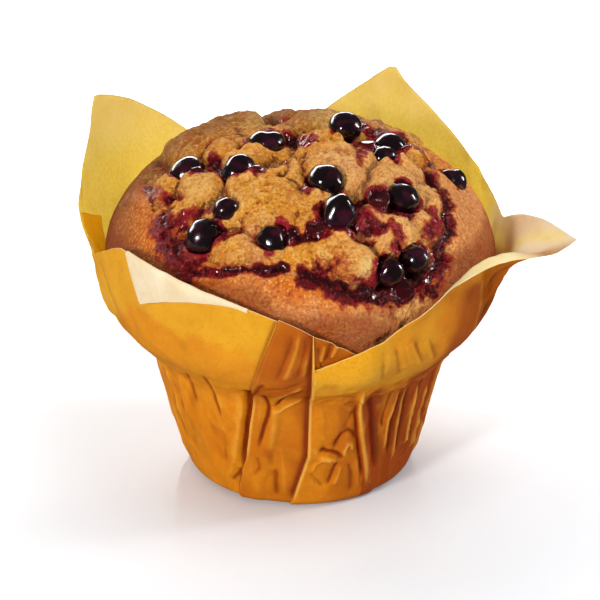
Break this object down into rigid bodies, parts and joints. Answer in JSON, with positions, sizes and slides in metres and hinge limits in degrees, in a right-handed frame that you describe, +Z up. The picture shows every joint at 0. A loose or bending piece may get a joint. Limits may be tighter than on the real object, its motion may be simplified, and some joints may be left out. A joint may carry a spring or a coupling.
{
  "type": "muffin",
  "caption": "Berry muffin with a burst, craggy crown, baked in a tulip paper case whose corners stand up round it.",
  "frame": {"origin": "middle of the flat underside of the paper case, where it rests", "axes": "+Z up through the middle of the cup; +X towards the corner of the paper that flares out furthest; -Y is the front, with the lapped seam of the paper"},
  "size_m": [0.1052, 0.0906, 0.0797],
  "materials": {
    "paper": "matte greaseproof baking paper, yellow outside and cream inside, soaked to orange where it touches the cake",
    "crumb": "golden brown crust, duller and paler where the crown burst",
    "berry": "baked berry, wet and glossy, almost black purple"
  },
  "bodies": {
    "root": {"paper_case": "paper", "muffin": "crumb", "berry_01": "berry", "berry_02": "berry", "berry_03": "berry", "berry_04": "berry", "berry_05": "berry", "berry_06": "berry", "berry_07": "berry", "berry_08": "berry", "berry_09": "berry", "berry_10": "berry", "berry_11": "berry", "berry_12": "berry", "berry_13": "berry", "berry_14": "berry", "berry_15": "berry", "berry_16": "berry", "berry_17": "berry", "berry_18": "berry", "berry_19": "berry"}
  },
  "joints": []
}
